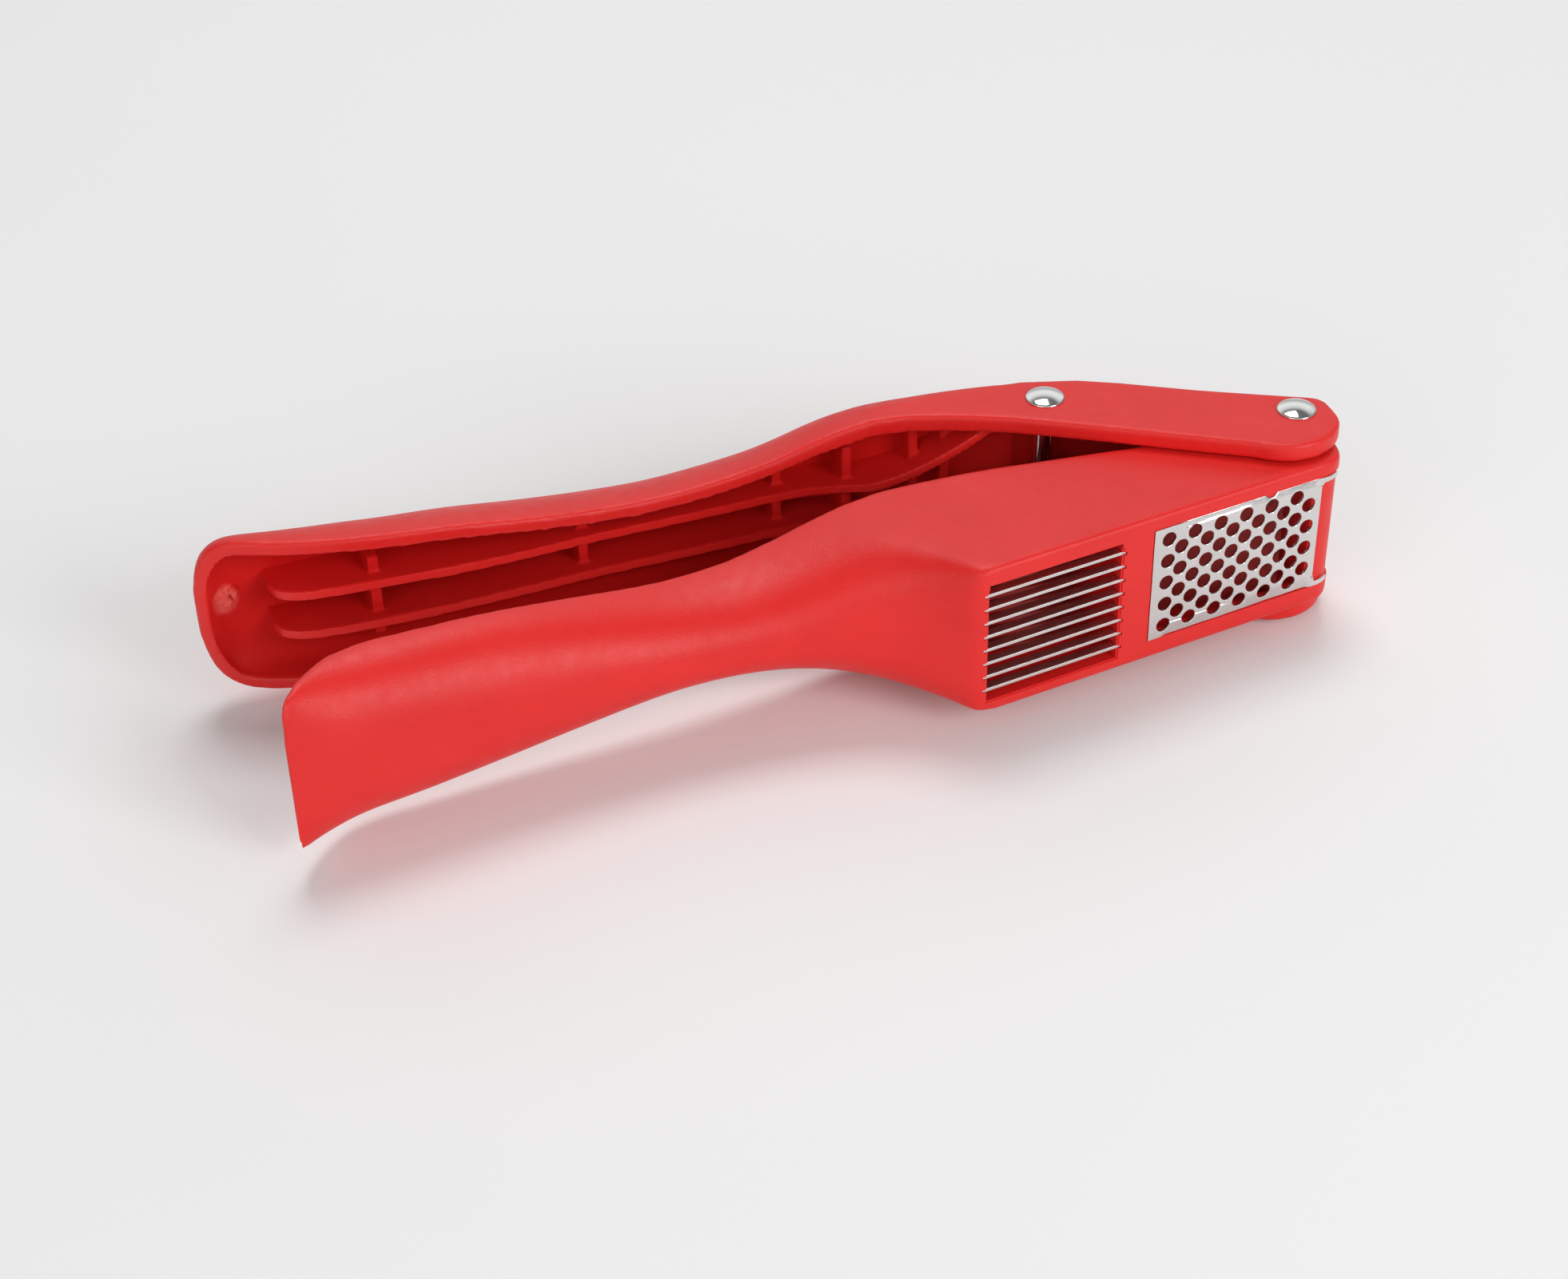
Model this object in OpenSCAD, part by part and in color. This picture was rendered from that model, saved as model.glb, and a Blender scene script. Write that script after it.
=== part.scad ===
// Two-in-one garlic press and slicer, riveted plastic, lying on its side.
// Working frame: X runs along the chamber box towards the pivot, Y points from
// the exit face into the box, Z is along the rivets, and Z = 0 is the mid plane.
// A closing shift moves the whole press so that the origin is under its middle.

/* [Chamber box] */
// Half of the box width along the rivets
box_hw = 15; // [14.8:0.1:15.1]
// Half of the inside width of both chambers
chamber_hw = 12; // [11.8:0.1:12.4]
// Depth of the seat that the plate lies in
seat_depth = 0.4; // [0.3:0.05:0.5]

/* [Slicer] */
// Number of straight blades across the window
blade_count = 8; // [4:2:8]
// Distance from one blade to the next
blade_pitch = 2.8; // [2.7:0.05:2.85]
// Thickness of a blade
blade_t = 0.6; // [0.4:0.05:0.7]
// Height of a blade
blade_h = 2; // [1.6:0.1:2.2]

// Offset of the slicer window and its blades along the rivets
slicer_z = -0.3; // [-0.4:0.05:0.2]

/* [Press plate] */
// Sheet thickness of the plate
plate_t = 0.6; // [0.5:0.05:0.7]
// Radius of one hole
hole_r = 1.35; // [1.1:0.05:1.4]
// Distance between two holes of one column
hole_pitch = 4.5; // [4.4:0.05:4.6]
// Distance between two columns
column_pitch = 2.65; // [2.6:0.01:2.68]

/* [Lever] */
// Thickness of the two cheeks
cheek_t = 3.4; // [3:0.1:3.6]
// Wall thickness of the handle channels
wall = 2.7; // [2.5:0.1:3.2]
// Angle between the lever as shown and the lever laid along the lower handle
open_angle = 9.5; // [9.5:1:40]
// Half distance between the two long ribs at the end of the lever
rib_z = 4.1; // [4:0.1:4.6]
// How far each long rib comes in towards the middle of the lever
rib_in = 0.4; // [0:0.1:0.6]
// Thickness of the long ribs
rib_t = 1.8; // [1.5:0.1:2]

/* [Rivets] */
// Radius of both rivet shafts
pin_r = 1.75; // [1.6:0.05:1.8]
// Radius of the rivet heads
head_r = 3.5; // [3.2:0.1:3.7]
// Height of the rivet heads
head_h = 1.1; // [0.9:0.1:1.2]
// Radial running clearance on the shafts
run_fit = 0.05; // [0.03:0.01:0.08]

/* [Hidden] */
red = [0.86, 0.17, 0.15];
steel = [0.78, 0.78, 0.79];
cheek_in = box_hw + 0.3;            // inner face of a cheek
cheek_out = cheek_in + cheek_t;     // outer face of a cheek
pivot = [34.25, 12.3];              // main rivet
hang = [-5.9, 30.8];                // pusher rivet, lever laid along the lower handle
k_push = 1.1;                       // turn of the pusher for one turn of the lever
shift = [55.5, -38, cheek_out + head_h];

// stations of the lower handle: x, half width, rim y, outer y, squareness
LOW = [[-151.4, 14.5, 20.5, 20.2, 2.8], [-150.7, 15.0, 21.6, 20.1, 2.8], [-149.2, 15.4, 23.4, 19.9, 2.75],
       [-147, 15.6, 25.6, 19.7, 2.7], [-144.3, 15.65, 27.8, 19.5, 2.65], [-141, 15.6, 29.8, 19.4, 2.6], [-137, 15.45, 31.0, 19.35, 2.5],
       [-132, 15.25, 31.3, 19.3, 2.35], [-126, 14.9, 31.2, 19.3, 2.2], [-113, 13.9, 31.2, 19.2, 2.05],
       [-99, 12.0, 31.2, 18.7, 2.0], [-85, 9.9, 31.2, 17.8, 2.0], [-76, 9.3, 31.2, 16.6, 2.05],
       [-69, 9.6, 31.2, 15.3, 2.1], [-62.5, 10.7, 31.1, 14.0, 2.2], [-55, 12.5, 31.0, 12.0, 2.5],
       [-49, 13.8, 30.8, 9.5, 3.2], [-45, 14.5, 30.6, 6.9, 4.2], [-41, 14.85, 30.4, 3.5, 6.5],
       [-38, 14.95, 30.2, 0.6, 11], [-36.6, 14.9, 30.0, 0.25, 14]];
// stations of the lever: x, half width, rim y, crest y, squareness
UPP = [[-157.7, 4.5, 41.0, 42.4, 3.0], [-157.2, 7.4, 40.8, 42.9, 3.0], [-156.6, 9.7, 40.5, 43.4, 3.0],
       [-155.6, 11.9, 39.9, 44.3, 2.9], [-154, 13.7, 39.1, 45.1, 2.8], [-152, 14.9, 38.2, 45.7, 2.7], [-149.3, 15.5, 37.0, 46.3, 2.5],
       [-143, 15.5, 34.7, 47.1, 2.4], [-137, 15.4, 33.2, 47.8, 2.3], [-131, 15.3, 32.2, 48.4, 2.2],
       [-125, 15.0, 31.8, 48.9, 2.1], [-113, 14.2, 31.8, 49.6, 2.05], [-100, 12.6, 32.2, 49.8, 2.0],
       [-88, 11.4, 32.8, 49.8, 2.0], [-77, 11.1, 33.3, 49.7, 2.0], [-66, 12.1, 33.5, 49.6, 2.1],
       [-56, 14.0, 33.6, 49.3, 2.2], [-45, 17.2, 33.6, 48.4, 2.6], [-38, 18.5, 33.6, 47.0, 3.0],
       [-33, 18.7, 33.6, 45.8, 3.4], [-26, 18.7, 33.6, 43.7, 4.4], [-18, 18.7, 33.6, 41.1, 7],
       [-8, 18.6, 33.6, 37.9, 14]];

// smooth value of column k of table T at x
function seg(T, x, i = 0) = (i >= len(T) - 2 || x < T[i + 1][0]) ? i : seg(T, x, i + 1);
function slope(T, i, k) =
    let (a = max(i - 1, 0), b = min(i + 1, len(T) - 1)) (T[b][k] - T[a][k]) / (T[b][0] - T[a][0]);
function at(T, x, k) =
    let (i = seg(T, x), h = T[i + 1][0] - T[i][0], s = (x - T[i][0]) / h,
         a = T[i][k], b = T[i + 1][k], m = slope(T, i, k) * h, n = slope(T, i + 1, k) * h)
    a * (2 * s * s * s - 3 * s * s + 1) + m * (s * s * s - 2 * s * s + s)
    + b * (3 * s * s - 2 * s * s * s) + n * (s * s * s - s * s);

// one section: an arch of half width w from the rim y r to the crest y c,
// closed across its mouth at the y value q
function arch(x, w, r, c, n, q, m) = concat(
    [[x, q, w]],
    [for (j = [0:m]) let (t = 180 * j / m, u = cos(t), v = sin(t))
        [x, r + (c - r) * pow(abs(v), 2 / n), w * sign(u) * pow(abs(u), 2 / n)]],
    [[x, q, -w]]);

function turned(v) = [for (i = [len(v) - 1:-1:0]) v[i]];

// solid through a list of equal rings
module loft(rings) {
    n = len(rings[0]);
    k = len(rings);
    polyhedron(points = [for (r = rings) each r],
        faces = concat(
            [[for (j = [0:n - 1]) n - 1 - j]],
            [for (i = [0:k - 2]) for (j = [0:n - 1]) let (a = i * n + j, b = i * n + (j + 1) % n)
                each [[a, b, a + n], [b, b + n, a + n]]],
            [[for (j = [0:n - 1]) (k - 1) * n + j]]));
}

// channel handle: outer arch less inner arch, t thick and g thicker at the
// head; dir is the side of the crest (1 or -1), and the inside of a closed end
// is rounded
module channel(T, xs, xi, t, g, dir, m = 22) {
    difference() {
        loft([for (x = dir > 0 ? xs : turned(xs)) let (r = at(T, x, 2))
            arch(x, at(T, x, 1), r, at(T, x, 3), at(T, x, 4), r - dir * 0.001, m)]);
        loft([for (x = dir > 0 ? xi : turned(xi)) let (r = at(T, x, 2), e = max(0, xi[0] + 4.6 - x),
                k = dir > 0 ? 1 - sqrt(max(0, 1 - e * e / 21.2)) : 0, u = t + g * min(1, max(0, (x + 60) / 20)),
                y = at(T, x, 3) - dir * (u + 1.6 * k))
            arch(x, at(T, x, 1) - u - 6.2 * k, r, dir > 0 ? y : min(y, r - 0.05), at(T, x, 4), r - dir * 6, m)]);
    }
}

function arc(c, r, a, b, n = 10) = [for (i = [0:n]) let (t = a + (b - a) * i / n) [c[0] + r * cos(t), c[1] + r * sin(t)]];

// turns the lever from its laid position to the shown one
module lever_place() {
    translate([pivot[0], pivot[1], 0]) rotate([0, 0, -open_angle]) translate([-pivot[0], -pivot[1], 0]) children();
}

module place() { translate(shift) children(); }

// ---------------------------------------------------------------- lower body
module box_profile() {
    polygon(concat([[-37.4, 0]], arc([32.4, 5.6], 5.6, -90, -14, 8),
        arc(pivot, 5.7, -10, 95, 14),
        [[20, 19.4], [5.8, 21.3], [-2.6, 23.4], [-10.9, 25.4], [-17.7, 27.1], [-24.9, 28.5], [-32.3, 29.6], [-38.6, 30.3], [-38.6, 3.5]]));
}

module lower_body() {
    color(red) place() difference() {
        union() {
            translate([0, 0, -box_hw]) linear_extrude(2 * box_hw) box_profile();
            channel(LOW, [-151.4, -151.05, -150.6, -149.9, -149, each [-148:2:-138], each [-135:4:-55], each [-52:2:-38], -36.6],
                    [-152, -151, -150, -149, -147.6, each [-146:4:-58], each [-54:3:-42], -39.5], wall + 0.5, 0, -1);
        }
        // slicer chamber and its window
        translate([-35.4, -1, slicer_z - chamber_hw]) cube([26.1, 40, 2 * chamber_hw]);
        translate([-35.4, 2.5, slicer_z - chamber_hw]) cube([27.7, 40, 2 * chamber_hw]);
        // press chamber, and its smaller opening under the plate
        translate([-5.5, 1.6, -chamber_hw]) cube([35.7, 40, 2 * chamber_hw]);
        translate([-1.6, -1, -9.9]) cube([31.8, 4, 21]);
        // seat of the plate, on the face and round the end wall
        translate([-3.1, -1, -10.95]) cube([40, 1 + seat_depth, 23.2]);
        difference() {
            translate([32.4, -1, -10.95]) cube([9, 9.4, 23.2]);
            translate([32.4, 5.6, -12]) cylinder(r = 5.6 - seat_depth, h = 26, $fn = 64);
            translate([32.3, 5.6, -12]) cube([5.7 - seat_depth, 5, 26]);
        }
        // notches of the blades in both window edges
        for (i = [0:blade_count - 1])
            translate([-36.2, -1, slicer_z + (i - (blade_count - 1) / 2) * blade_pitch - blade_t / 2 - 0.02])
                cube([27.8, 1.3 + blade_h + 0.02, blade_t + 0.04]);
        // main bore
        translate([pivot[0], pivot[1], -20]) cylinder(r = pin_r + run_fit, h = 40, $fn = 64);
    }
}

// --------------------------------------------------------------------- lever
module cheek_profile() {
    difference() {
        polygon(concat(
            [[-37, 33.5], [-31, 32.9], [-25.2, 31.1], [-19.5, 28.9], [-14, 26.4], [-9.5, 23.9], [2.4, 17], [14.3, 9.9], [22.5, 5.1]],
            arc([30.9, 11.6], 10.3, -126, -24, 14),
            [[40.7, 10.4], [40.7, 12.2]], arc([37.4, 12.9], 3.2, 5, 58, 6),
            [[21.2, 24.7], [8.8, 31.8], [2, 35.2], [-8, 38.1], [-18, 38.2], [-37, 38.2]]));
        translate(pivot) circle(r = pin_r + 0.01, $fn = 64);
        translate(hang) circle(r = pin_r + 0.01, $fn = 64);
    }
}

// plan curve of a long rib: nearly straight, then bending out to the cheek
function rib_path(x) = x < -38 ? rib_z - rib_in * lookup(x, [[-130, 0], [-104, 1]])
    : rib_z - rib_in + (cheek_in + 0.6 - rib_z + rib_in) * pow((x + 38) / 22.6, 1.6);

module long_rib() {
    intersection() {
        translate([0, 50, 0]) rotate([90, 0, 0]) linear_extrude(22) polygon(concat(
            [for (x = [-146, -130, -104, -38.01]) [x, rib_path(x) - rib_t / 2]], [for (x = [-35.4:2.5:-15.4]) [x, rib_path(x) - rib_t / 2]],
            [for (x = [-15.4:-2.5:-35.4]) [x, rib_path(x) + rib_t / 2]], [for (x = [-38.01, -104, -130, -146]) [x, rib_path(x) + rib_t / 2]]));
        translate([0, 0, -1]) linear_extrude(20) polygon([[-145.3, 44.5], [-145.2, 39], [-144.6, 37.1], [-143.2, 35.7], [-141, 34.7],
            [-137, 34.0], [-126, 33.8], [-113, 33.9], [-100, 34.7], [-88, 35.7], [-77, 36.2], [-64, 36.8], [-56, 37.3],
            [-49, 37.4], [-43, 36.4], [-37, 34.8], [-31, 33.5], [-25, 32.0], [-19, 30.4], [-13, 28.6], [-13, 37.0], [-20, 39.8], [-27, 42.2], [-34, 44.2],
            [-45, 46.4], [-77, 47.0], [-100, 47.3], [-126, 46.8], [-137, 45.6]]);
    }
}

module upper_handle() {
    color(red) place() lever_place() difference() {
        union() {
            channel(UPP, [-157.7, -157.45, -157.1, -156.6, -156.1, -155.5, -154.7, -153.7, -152.3, each [-150:4:-54], each [-51:3:-9], -8],
                    [-155.6, -155.45, -155.2, -154.8, -154.2, -153.4, -152.4, -151.2, -149.6, each [-147:4:-55], each [-53:3:-11], -7], wall, cheek_t - wall, 1);
            for (s = [-1, 1]) translate([0, 0, s > 0 ? cheek_in : -cheek_out]) linear_extrude(cheek_t) cheek_profile();
            // roof between the cheeks
            translate([0, 0, -cheek_in - 0.5]) linear_extrude(2 * cheek_in + 1)
                polygon([[-10, 38.5], [-8, 38.0], [2, 35.1], [8.8, 31.7], [21.2, 24.6], [22.4, 21.7], [21.2, 21.9], [8.8, 28.9], [1.4, 32.4], [-8, 35.2], [-10, 35.6]]);
            for (s = [0, 1]) mirror([0, 0, s]) long_rib();
            // cross ribs
            for (c = [[-127.2, 36.6, 8, 46], [-89.8, 38.5, 6, 46.8], [-53.2, 40.6, 9, 46], [-40.7, 38.2, 11, 45.4], [-28.5, 37, 14, 42.6], [-22.6, 36.4, 14.5, 40.6]])
                translate([c[0] - 0.9, c[1], -c[2]]) cube([1.8, c[3] - c[1], 2 * c[2]]);
        }
        // room for the hub of the pusher under the roof
        translate([hang[0], hang[1], -4.5]) cylinder(r = 4, h = 9, $fn = 64);
    }
}

// -------------------------------------------------------------------- pusher
module pusher_place() {
    lever_place()
        translate([hang[0], hang[1], 0]) rotate([0, 0, -(k_push - 1) * open_angle]) translate([-hang[0], -hang[1], 0]) children();
}

module pusher() {
    color(red) place() pusher_place() difference() {
        union() {
            // block head for the plate
            translate([-2.7, 1.9, -11.3]) cube([31.2, 5.6, 22.6]);
            // slotted head for the blades
            translate([-33.8, 4.6, slicer_z - 11.3]) cube([23, 3.6, 22.6]);
            for (i = [0:blade_count]) let (z = slicer_z + (i - blade_count / 2) * blade_pitch, h = (i == 0 || i == blade_count) ? 0.45 : 0.75)
                translate([-33.8, 0.9, z - h]) cube([23, 4, 2 * h]);
            // two webs and the hub
            for (s = [-1, 1]) translate([0, 0, s * 2.9 - 1.1]) linear_extrude(2.2)
                polygon([[-33.8, 7.5], [-10.8, 7.5], [-10.2, 25], [-8.6, 26.9], [-4.6, 26.9], [-3.2, 25], [-2.7, 7], [28.5, 7], [28.5, 8.8],
                         [14, 19.5], [0, 30], [-4.5, 33.8], [-7.3, 33.8], [-12, 30.5], [-33.8, 11]]);
            translate([hang[0], hang[1], -4]) cylinder(r = 3.3, h = 8, $fn = 64);
            // braces across the webs
            translate([-24, 7.5, -7]) cube([1.8, 7, 14]);
            translate([10, 7, -7]) cube([1.8, 12, 14]);
        }
        translate([hang[0], hang[1], -8]) cylinder(r = pin_r + run_fit, h = 16, $fn = 64);
    }
}

// --------------------------------------------------------------------- plate
module press_plate() {
    y0 = seat_depth - plate_t;
    color(steel) place() difference() {
        union() {
            translate([-3, y0, -10.9]) cube([35.1, plate_t, 23.1]);
            // two tabs that hook round the end wall
            for (z = [-10.9, 11.1]) translate([0, 0, z]) {
                translate([32, y0, 0]) cube([0.4, plate_t, 1.1]);
                intersection() {
                    difference() {
                        translate([32.4, 5.6, 0]) cylinder(r = 5.6 - seat_depth + plate_t, h = 1.1, $fn = 96);
                        translate([32.4, 5.6, -1]) cylinder(r = 5.6 - seat_depth, h = 4, $fn = 96);
                    }
                    translate([32.4, -1, -1]) cube([8, 1.7, 4]);
                }
            }
        }
        for (c = [0:11]) for (r = [0:(c % 2 == 0 ? 4 : 3)])
            translate([c * column_pitch, 2, 9.7 - (r + (c % 2) / 2) * hole_pitch])
                rotate([90, 0, 0]) cylinder(r = hole_r, h = 5, $fn = 32);
        // half hole on the upper edge
        translate([8 * column_pitch, 2, 12.75]) rotate([90, 0, 0]) cylinder(r = hole_r, h = 5, $fn = 32);
    }
}

// -------------------------------------------------------------------- blades
module blade(i) {
    if (i < blade_count) color(steel) place()
        translate([-36.15, 0.3, slicer_z + (i - (blade_count - 1) / 2) * blade_pitch - blade_t / 2])
            difference() {
                cube([27.7, blade_h, blade_t]);
                // ground cutting edge on the inner side
                translate([-1, blade_h, 0]) rotate([0, 90, 0]) linear_extrude(30)
                    polygon([[-blade_t - 0.1, 0.1], [-blade_t - 0.1, -0.6], [-blade_t, -0.6], [-blade_t / 2 - 0.06, 0.1]]);
            }
}

// -------------------------------------------------------------------- rivets
module dome(h = head_h, r = head_r) {
    // low dome: a rim band, then a part of a sphere
    band = 0.25;
    rs = (r * r + (h - band) * (h - band)) / (2 * (h - band));
    rotate_extrude($fn = 64) polygon(concat([[0, 0], [r, 0]],
        [for (i = [0:10]) let (x = r * (1 - i / 10)) [x, band + sqrt(rs * rs - x * x) - (rs - (h - band))]]));
}

module pin(at_xy) {
    translate([at_xy[0], at_xy[1], 0]) {
        translate([0, 0, -cheek_out + 1.2]) cylinder(r = pin_r, h = 2 * cheek_out - 1.2, $fn = 64);
        translate([0, 0, cheek_out]) dome();
    }
}

module pin_cap(at_xy) {
    translate([at_xy[0], at_xy[1], 0]) {
        translate([0, 0, -cheek_out]) cylinder(r = pin_r, h = 1.2, $fn = 64);
        translate([0, 0, -cheek_out]) mirror([0, 0, 1]) dome();
    }
}

module pivot_pin() { color(steel) place() pin(pivot); }
module pivot_pin_cap() { color(steel) place() pin_cap(pivot); }
module pusher_pin() { color(steel) place() lever_place() pin(hang); }
module pusher_pin_cap() { color(steel) place() lever_place() pin_cap(hang); }

lower_body();
upper_handle();
pusher();
press_plate();
blade(0);  // slicer_blade_1
blade(1);  // slicer_blade_2
blade(2);  // slicer_blade_3
blade(3);  // slicer_blade_4
blade(4);  // slicer_blade_5
blade(5);  // slicer_blade_6
blade(6);  // slicer_blade_7
blade(7);  // slicer_blade_8
pivot_pin();
pivot_pin_cap();
pusher_pin();
pusher_pin_cap();
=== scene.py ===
import math

import bmesh
import bpy
import numpy as np
from mathutils import Matrix, Vector
from mathutils.geometry import tessellate_polygon


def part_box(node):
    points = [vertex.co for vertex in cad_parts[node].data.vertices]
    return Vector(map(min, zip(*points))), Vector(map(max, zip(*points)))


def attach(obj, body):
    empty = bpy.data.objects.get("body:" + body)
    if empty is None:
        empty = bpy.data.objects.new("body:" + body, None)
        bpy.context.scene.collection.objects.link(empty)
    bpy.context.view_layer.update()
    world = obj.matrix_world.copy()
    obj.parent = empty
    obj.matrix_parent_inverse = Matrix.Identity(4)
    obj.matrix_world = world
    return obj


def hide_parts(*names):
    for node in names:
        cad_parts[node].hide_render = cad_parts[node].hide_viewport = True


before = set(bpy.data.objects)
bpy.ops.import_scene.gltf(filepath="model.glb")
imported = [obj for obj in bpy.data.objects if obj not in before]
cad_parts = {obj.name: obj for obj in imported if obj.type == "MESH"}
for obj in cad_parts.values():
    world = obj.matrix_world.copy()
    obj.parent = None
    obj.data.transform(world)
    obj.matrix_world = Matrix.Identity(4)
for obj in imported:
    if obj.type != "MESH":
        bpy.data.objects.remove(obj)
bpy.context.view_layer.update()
scene = bpy.context.scene

# ------------------------------------------------------------------ dimensions
BOX_HW, CHAMBER_HW, SEAT = 15.0, 12.0, 0.4
WALL, CHEEK_T, OPEN, RIB_Z, RIB_T, RIB_IN = 2.7, 3.4, 9.5, 4.1, 1.8, 0.4
PIN_R, HEAD_R, HEAD_H, FIT = 1.75, 3.5, 1.1, 0.05
CHEEK_IN = BOX_HW + 0.3
CHEEK_OUT = CHEEK_IN + CHEEK_T
PIVOT, HANG, K_PUSH = (34.25, 12.3), (-5.9, 30.8), 1.1
BLADES, PITCH, BLADE_T, BLADE_H, SLICER_Z = 8, 2.8, 0.6, 2.0, -0.3
PLATE_T, HOLE_R, HOLE_PITCH, COL_PITCH = 0.6, 1.35, 4.5, 2.65

lo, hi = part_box("pivot_pin")
SHIFT = (500 * (lo.x + hi.x) - PIVOT[0], 500 * (lo.y + hi.y) - PIVOT[1], 1000 * hi.z - CHEEK_OUT - HEAD_H)

LOW = [(-151.4, 14.2, 20.6, 20.2, 2.2), (-150.7, 15.0, 21.8, 20.1, 2.2), (-149.2, 15.4, 23.6, 19.9, 2.2),
       (-147, 15.6, 25.7, 19.7, 2.25), (-144.3, 15.65, 27.8, 19.5, 2.25), (-141, 15.6, 29.8, 19.4, 2.25), (-137, 15.45, 31.0, 19.35, 2.25),
       (-132, 15.25, 31.3, 19.3, 2.25), (-126, 14.9, 31.2, 19.3, 2.2), (-113, 13.9, 31.2, 19.2, 2.05),
       (-99, 12.0, 31.2, 18.7, 2.0), (-85, 9.9, 31.2, 17.8, 2.0), (-76, 9.3, 31.2, 16.6, 2.05),
       (-69, 9.6, 31.2, 15.3, 2.1), (-62.5, 10.7, 31.1, 14.0, 2.2), (-55, 12.5, 31.0, 12.0, 2.5),
       (-49, 13.8, 30.8, 9.5, 3.2), (-45, 14.5, 30.6, 6.9, 4.2), (-41, 14.85, 30.4, 3.5, 6.5),
       (-38, 14.95, 30.2, 0.6, 11), (-36.6, 14.9, 30.0, 0.25, 14)]
UPP = [(-157.7, 4.5, 41.0, 42.4, 3.0), (-157.2, 7.4, 40.8, 42.9, 3.0), (-156.6, 9.7, 40.5, 43.4, 3.0),
       (-155.6, 11.9, 39.9, 44.3, 2.9), (-154, 13.7, 39.1, 45.1, 2.8), (-152, 14.9, 38.2, 45.7, 2.7), (-149.3, 15.5, 37.0, 46.3, 2.5),
       (-143, 15.5, 34.7, 47.1, 2.4), (-137, 15.4, 33.2, 47.8, 2.3), (-131, 15.3, 32.2, 48.4, 2.2),
       (-125, 15.0, 31.8, 48.9, 2.1), (-113, 14.2, 31.8, 49.6, 2.05), (-100, 12.6, 32.2, 49.8, 2.0),
       (-88, 11.4, 32.8, 49.8, 2.0), (-77, 11.1, 33.3, 49.7, 2.0), (-66, 12.1, 33.5, 49.6, 2.1),
       (-56, 14.0, 33.6, 49.3, 2.2), (-45, 17.2, 33.6, 48.4, 2.6), (-38, 18.5, 33.6, 47.0, 3.0),
       (-33, 18.7, 33.6, 45.8, 3.4), (-26, 18.7, 33.6, 43.7, 4.4), (-18, 18.7, 33.6, 41.1, 7),
       (-8, 18.6, 33.6, 37.9, 14)]


# --------------------------------------------------------------------- helpers
def at(T, x, k):
    """Smooth value of column k of table T at x."""
    i = 0
    while i < len(T) - 2 and x >= T[i + 1][0]:
        i += 1

    def slope(j):
        a, b = max(j - 1, 0), min(j + 1, len(T) - 1)
        return (T[b][k] - T[a][k]) / (T[b][0] - T[a][0])

    h = T[i + 1][0] - T[i][0]
    s = (x - T[i][0]) / h
    a, b, m, n = T[i][k], T[i + 1][k], slope(i) * h, slope(i + 1) * h
    return (a * (2 * s**3 - 3 * s * s + 1) + m * (s**3 - 2 * s * s + s)
            + b * (3 * s * s - 2 * s**3) + n * (s**3 - s * s))


def arch(x, w, r, c, n, q, m):
    """One section: an arch of half width w from rim r to crest c, closed at q."""
    pts = [(x, q, w)]
    for j in range(m + 1):
        t = math.pi * j / m
        u, v = math.cos(t), math.sin(t)
        pts.append((x, r + (c - r) * abs(v) ** (2 / n), w * math.copysign(abs(u) ** (2 / n), u)))
    pts.append((x, q, -w))
    return pts


def new_object(name, verts, faces):
    mesh = bpy.data.meshes.new(name)
    mesh.from_pydata([tuple(v) for v in verts], [], [tuple(f) for f in faces])
    mesh.update()
    ob = bpy.data.objects.new(name, mesh)
    scene.collection.objects.link(ob)
    return ob


def closed(ob):
    """Makes the faces of a closed mesh point outwards."""
    bm = bmesh.new()
    bm.from_mesh(ob.data)
    bmesh.ops.remove_doubles(bm, verts=bm.verts, dist=1e-6)
    bmesh.ops.recalc_face_normals(bm, faces=bm.faces)
    if bm.calc_volume(signed=True) < 0:
        bmesh.ops.reverse_faces(bm, faces=bm.faces)
    bm.to_mesh(ob.data)
    bm.free()
    return ob


def prism(pts, z0, z1, name="tool"):
    """A polygon in XY, pushed from z0 to z1."""
    clean = []
    for p in pts:
        if not clean or math.dist(clean[-1], p) > 1e-5:
            clean.append((float(p[0]), float(p[1])))
    if math.dist(clean[0], clean[-1]) < 1e-5:
        clean.pop()
    n = len(clean)
    verts = [(x, y, z0) for x, y in clean] + [(x, y, z1) for x, y in clean]
    tri = tessellate_polygon([[Vector((x, y, 0)) for x, y in clean]])
    faces = [tuple(t) for t in tri] + [tuple(i + n for i in reversed(t)) for t in tri]
    faces += [(i, (i + 1) % n, (i + 1) % n + n, i + n) for i in range(n)]
    return closed(new_object(name, verts, faces))


def block(x0, y0, z0, dx, dy, dz):
    return prism([(x0, y0), (x0 + dx, y0), (x0 + dx, y0 + dy), (x0, y0 + dy)], z0, z0 + dz)


def arc(c, r, a, b, n=10):
    return [(c[0] + r * math.cos(math.radians(a + (b - a) * i / n)),
             c[1] + r * math.sin(math.radians(a + (b - a) * i / n))) for i in range(n + 1)]


def rod(c, r, z0, z1, n=72):
    return prism(arc(c, r, 0, 360 - 360 / n, n - 1), z0, z1)


def loft(rings, name="tool"):
    n, k = len(rings[0]), len(rings)
    verts = [p for r in rings for p in r]
    faces = [tuple(range(n - 1, -1, -1)), tuple(range((k - 1) * n, k * n))]
    for i in range(k - 1):
        for j in range(n):
            a, b = i * n + j, i * n + (j + 1) % n
            faces.append((a, b, b + n, a + n))
    ob = new_object(name, verts, faces)
    bm = bmesh.new()
    bm.from_mesh(ob.data)
    bmesh.ops.triangulate(bm, faces=[f for f in bm.faces if len(f.verts) > 4])
    bm.to_mesh(ob.data)
    bm.free()
    return closed(ob)


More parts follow.
